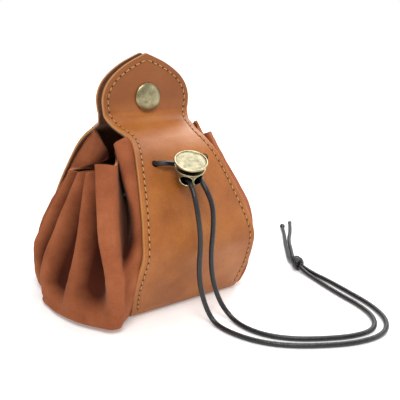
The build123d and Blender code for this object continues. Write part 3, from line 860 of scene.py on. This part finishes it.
RIGHT_FRONT = [
    ("ridge", [
        (24.2, -14.4, 91.6), (24.4, -21.4, 83.6), (25.4, -29.4, 73.4), (27.4, -37.4, 61), (30.2, -44.6, 49),
        (33.2, -49.6, 36), (35.2, -47.6, 18), (34.6, -40.8, 4.4), (31.8, -34.6, 1.2)]),
    ("valley", [
        (24, -8, 82), (24.4, -13, 72), (26, -19, 60), (29, -27, 46), (33, -37, 36),
        (36, -45, 26), (37, -43.6, 14), (35.6, -38.6, 3), (31.8, -31.5, 1.2)]),
    ("ridge", [
        (27.6, -19.4, 85.2), (29.8, -26, 75), (32.6, -32.4, 64), (35.6, -38, 53), (38, -42.2, 42),
        (39, -43.8, 31), (38.2, -42.8, 20), (35.6, -40.6, 9), (33, -34, 1.6)]),
    ("ridge", [
        (32.4, -15.4, 84.8), (33.2, -22.4, 75.6), (36.4, -28, 64.8), (39.6, -33, 54.8), (42.8, -37.2, 43.6),
        (43.6, -39.4, 32.4), (41.4, -39.2, 20), (38, -38, 9), (34, -31, 1.6)]),
    ("ridge", [
        (36, -11.6, 83.7), (35.6, -18.6, 76), (39.4, -23.8, 65.5), (43, -28, 56), (47, -32, 45),
        (49, -34, 33), (46.6, -34.4, 20), (41.4, -34.2, 9), (37, -29, 1.8)]),
    ("valley", [
        (27, -9, 78), (29, -12, 67), (32.5, -16, 55), (36.5, -20, 42), (40, -24, 30),
        (42.5, -27, 19), (42, -28, 9), (39, -25, 2), (31.8, -18.5, 1.2)]),
    ("ridge", [
        (42, -14, 71.6), (45, -16, 60.4), (49.4, -20, 45.4), (52, -22.6, 33.4), (53, -24, 22.6),
        (50.6, -24.4, 13.6), (47.4, -23.6, 6.2), (44, -20, 1.8), (31.8, -12.5, 1.2)]),
    ("valley", [
        (29, -7, 70.6), (32, -8, 60), (37, -9.4, 46), (43, -10.4, 33), (48, -11, 22),
        (50.6, -11, 11), (50, -10.6, 5), (47, -9.4, 1.8), (31.8, -6.5, 1.2)]),
]
FRONT_EDGE, BACK_EDGE = ("edge", FRONT_SEAM), ("edge", BACK_SEAM)
LEFT_LINES = [FRONT_EDGE, *LEFT_FRONT, *MIDDLE, *BACK, BACK_EDGE]
RIGHT_LINES = [FRONT_EDGE, *RIGHT_FRONT, *MIDDLE, *BACK, BACK_EDGE]
STEPS = 9  # between two lines' points, down and across
FULL_DEPTH = 7.5  # a valley this deep gets the full painted shade


def across_folds(row, kinds):
    """A row of points through the folds, and how deep in a valley each of them is, from 0 to 1, for the
    painted shade in the folds.
    """
    deep = np.zeros(len(kinds))
    for i, kind in enumerate(kinds):
        if kind == "valley":
            before, here, after = row[i - 1], row[i], row[i + 1]
            chord = after - before
            share = np.clip(np.dot(here - before, chord) / max(np.dot(chord, chord), 1e-6), 0, 1)
            deep[i] = min(1.0, np.linalg.norm(here - before - share * chord) / FULL_DEPTH)
    curve = smooth_path(np.column_stack([row, deep]), STEPS)
    return curve[:, :3], np.clip(curve[:, 3], 0, 1)


def gusset(name, lines, side, replaced):
    """A gathered side: the folds' lines joined across, with the suede's thickness and slow ripples."""
    downs = np.array([smooth_path(line, STEPS) for kind, line in lines])
    kinds = [kind for kind, line in lines]
    rows, depths = zip(*(across_folds(downs[:, i], kinds) for i in range(downs.shape[1])))
    down, across = len(rows), len(rows[0])
    points, depths = np.vstack(rows), np.concatenate(depths)
    ripples = [noise.noise(Vector(p) * 0.09) + 0.5 * noise.noise(Vector(p) * 0.23) for p in points]
    points[:, 0] += 0.4 * np.array(ripples)
    points[:, 2] = np.maximum(points[:, 2], 0.1)
    fade = np.clip(points[:, 2] / 13.0 - 0.1, 0, 1)  # no painted fold shade under the bag
    points[:, 0] *= -side
    faces = []
    for i in range(down - 1):
        for k in range(across - 1):
            a = i * across + k
            quad = (a, a + across, a + across + 1, a + 1)
            faces.append(quad if side < 0 else quad[::-1])
    # the deep attribute carries the painted shade of the valleys to the suede
    made = mesh_object(name, points, faces, [SUEDE_MAT, SUEDE_EDGE_MAT], attributes={"deep": depths * fade})
    with_modifier(
        made, "SOLIDIFY", thickness=SUEDE * MM, offset=-1.0, use_rim=True, material_offset_rim=1,
        use_quality_normals=True,
    )
    made.data.set_sharp_from_angle(angle=SHARP_SUEDE)
    return finished(made, "pouch", [replaced])


left_side = gusset("left_suede_side", LEFT_LINES, 1, "left_gusset")
right_side = gusset("right_suede_side", RIGHT_LINES, -1, "right_gusset")


# ---------------------------------------------------------------- snap and cord lock
def lathe(name, profile, where, mats, bands=(), around=96, closed=True):
    """A turned piece from (radius, height) points; bands are (first row, last row, material index)."""
    points = [where @ Vector((r * c, r * s, h)) for r, h in profile for c, s in circle(1.0, around)]
    faces = ring_faces(len(profile), around, closed)
    rows = [i // around for i in range(len(faces))]
    indices = [next((m for first, last, m in bands if first <= row < last), 0) for row in rows]
    if not closed:
        faces += caps(len(profile), around)
        indices += [0, 0]
    made = mesh_object(name, points, faces, mats, indices)
    made.data.set_sharp_from_angle(angle=SHARP_TURNED)
    return made


def rounded(points, steps=3):
    """Rounds a (radius, height) outline's corners with short quadratic curves."""
    out = [points[0]]
    for a, b, c in zip(points, points[1:], points[2:]):
        a, b, c = Vector(a), Vector(b), Vector(c)
        reach = min((a - b).length, (c - b).length) * 0.42
        start, end = b + (a - b).normalized() * reach, b + (c - b).normalized() * reach
        for k in range(steps + 1):
            t = k / steps
            point = start * (1 - t) ** 2 + b * 2 * t * (1 - t) + end * t**2
            out.append((point.x, point.y))
    return out + [points[-1]]


SNAP = Matrix.Translation((0, 0, SNAP_Z)) @ Matrix.Rotation(radians(90), 4, "X")


def coated(node, mat):
    """Gives a CAD node that stays a material of its own."""
    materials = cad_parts[node].data.materials
    materials.clear()
    materials.append(mat)


def snap():
    face = HEAD_Y + 0.05
    dome = [
        (6.6, 0), (7.3, 0.08), (7.5, 0.4), (7.4, 0.72), (6.9, 1.12), (5.9, 1.62), (4.4, 2.0), (2.4, 2.2),
        (0.02, 2.25),
    ]
    cap = lathe("snap_dome", rounded([(r, h + face) for r, h in dome]), SNAP, [BRASS_MAT], closed=False)
    finished(cap, "front_head", ["snap_cap"])
    for node in ("snap_socket", "snap_stud", "snap_post"):
        coated(node, BRASS_MAT)
    coated("snap_spring_ring", STEEL_MAT)


snap()

LOCK = (
    Matrix.Translation(LOCK_TOP) @ Matrix.Rotation(radians(LOCK_TURN), 4, "Z")
    @ Matrix.Rotation(radians(LOCK_LEAN), 4, "X")
)


# the third is painted shade for the lock's insides
LOCK_MATS = [BRASS_MAT, RUBBED_MAT, INSIDE_SHADE_MAT]
DARK = LOCK_MATS.index(INSIDE_SHADE_MAT)
CHANNEL_R = 2.7
WALL_R, WIRE_R = 6.85, 0.26  # the cup's wall, and the rolled rim on it
THROUGH = 14.0  # a tool this long passes right through the lock


def channel_tool(x):
    ring = [(x + a, CHANNEL_Z + b) for a, b in circle(CHANNEL_R, 40)]
    points = [LOCK @ Vector((a, y, b)) for y in (-THROUGH, THROUGH) for a, b in ring]
    # the channel's cut walls take the painted shade brass
    return prism("channel", points, LOCK_MATS, DARK, turned_out=True)


def hole_ring(x, name, radius=CHANNEL_R + 0.02, around=44):
    """The rolled rim of a channel, laid on the cup's round wall."""
    points = []
    for c, s in circle(1.0, around):
        cx, cz = x + radius * c, CHANNEL_Z + radius * s
        drop = max(0.0, WALL_R**2 - cx**2) ** 0.5
        centre = Vector((cx, -drop, cz))
        out = Vector((cx, -drop, 0)).normalized()
        side = Vector((c, 0, s))
        points += [LOCK @ (centre + out * b + side * a) for a, b in circle(WIRE_R, 8)]
    made = mesh_object(name, points, flipped(ring_faces(around, 8, True)), [RUBBED_MAT])
    return finished(made, "pouch")


def lock():
    """The push button with its stem and the stem's windows, and the cup with its two channels."""
    disc = rounded([
        (0.02, -0.42), (6.7, -0.5), (7.25, -0.42), (7.5, -0.06), (7.9, 0.04), (8.2, -0.2), (8.24, -0.7),
        (8.0, -1.1), (7.4, -1.7), (5.1, -1.7), (5.1, -9.9), (0.02, -9.9),
    ])
    # the stem's band takes the painted shade brass
    plate = lathe("lock_push_button", disc, LOCK, [PLATE_MAT, RUBBED_MAT, INSIDE_SHADE_MAT],
                  bands=[(0, 9, 0), (9, 29, 1), (29, 60, 2)], closed=False)
    finished(plate, "lock_button", ["lock_button"])
    window = [(-4.3, -9.0), (4.3, -9.0), (4.3, -4.4), (-4.3, -4.4)]
    for near, far in ((-THROUGH, -0.6), (0.6, THROUGH)):
        points = [LOCK @ Vector((x, y, z)) for y in (near, far) for x, z in window]
        # the windows' cut walls take the painted shade brass
        cut(plate, prism("window", points, LOCK_MATS, DARK, turned_out=True))
    profile = rounded([
        (5.4, -11.8), (5.4, -3.75), (7.45, -3.7), (7.7, -4.0), (7.45, -4.4), (6.9, -4.7), (6.95, -7.6),
        (6.6, -9.9), (5.9, -11.8), (4.6, -13.1), (2.4, -13.7), (0.02, -13.8),
    ]) + [(0.02, -12.9), (4.6, -12.4), (5.3, -11.9)]
    # the cup's bore and inner floor take the painted shade brass
    barrel = lathe("lock_cup", profile, LOCK, LOCK_MATS, bands=[(0, 1, 2), (5, 14, 1), (41, 60, 2)])
    for x in (-CHANNEL_X, CHANNEL_X):
        cut(barrel, channel_tool(x))
    rings = [hole_ring(x, f"lock_hole_rim_{i}") for i, x in enumerate((-CHANNEL_X, CHANNEL_X))]
    finished(barrel, "pouch", ["lock_barrel"])
    coated("lock_spring", STEEL_MAT)
    return [plate, barrel, *rings]


lock_pieces = lock()


# ---------------------------------------------------------------- floor, light
FLOOR_REACH = 9000.0


def stage():
    """A pale floor that glows more with distance from the bag, into the white of the background."""
    points = [(x * FLOOR_REACH, y * FLOOR_REACH, -0.05) for x, y in ((-1, -1), (1, -1), (1, 1), (-1, 1))]
    mat, tree, bsdf = shader("floor", (0.9, 0.9, 0.9), 0.8)
    tint = ramp(tree, grain(tree, place(tree), 3.0), [(0.0, 0.88), (1.0, 0.92)])
    tree.links.new(tint, bsdf.inputs["Base Color"])
    bsdf.inputs["Specular IOR Level"].default_value = 0.1
    bsdf.inputs["Emission Color"].default_value = (1, 1, 1, 1)
    away = add(tree, "ShaderNodeVectorMath", {0: place(tree)}, operation="LENGTH").outputs["Value"]
    spread = {"Value": away, "From Min": 0.15, "From Max": 1.2, "To Min": 0.22, "To Max": 0.75}
    glow = add(tree, "ShaderNodeMapRange", spread).outputs["Result"]
    tree.links.new(glow, bsdf.inputs["Emission Strength"])
    mesh_object("floor", points, [(0, 1, 2, 3)], [mat])


def softbox(name, place_at, aim, size, power, colour=(1, 1, 1)):
    """A rectangular area light turned towards a point."""
    light = bpy.data.lights.new(name, "AREA")
    light.shape = "RECTANGLE"
    light.size, light.size_y = size
    light.energy = power
    light.color = colour
    made = bpy.data.objects.new(name, light)
    made.location = place_at
    made.rotation_euler = (Vector(place_at) - Vector(aim)).to_track_quat("Z", "Y").to_euler()
    bpy.context.scene.collection.objects.link(made)


stage()
AIM = (0.0, -0.02, 0.06)
softbox("key", (-0.35, -0.55, 1.05), AIM, (0.55, 0.55), 9.5, (1.0, 0.985, 0.96))
softbox("fill", (0.95, -0.75, 0.5), AIM, (0.8, 0.8), 3.0)
softbox("rim", (0.66, 0.38, 0.95), AIM, (1.0, 1.0), 13.0)


def studio():
    """White all round, dimmer as a light than as a background."""
    world = bpy.data.worlds.new("studio")
    world.use_nodes = True
    tree = world.node_tree
    background = tree.nodes["Background"]
    background.inputs["Color"].default_value = (1, 1, 1, 1)
    seen = add(tree, "ShaderNodeLightPath").outputs["Is Camera Ray"]
    strength = add(tree, "ShaderNodeMapRange", {"Value": seen, "To Min": 0.42, "To Max": 1.0})
    tree.links.new(strength.outputs["Result"], background.inputs["Strength"])
    bpy.context.scene.world = world


studio()
bpy.context.scene.view_settings.view_transform = "Standard"
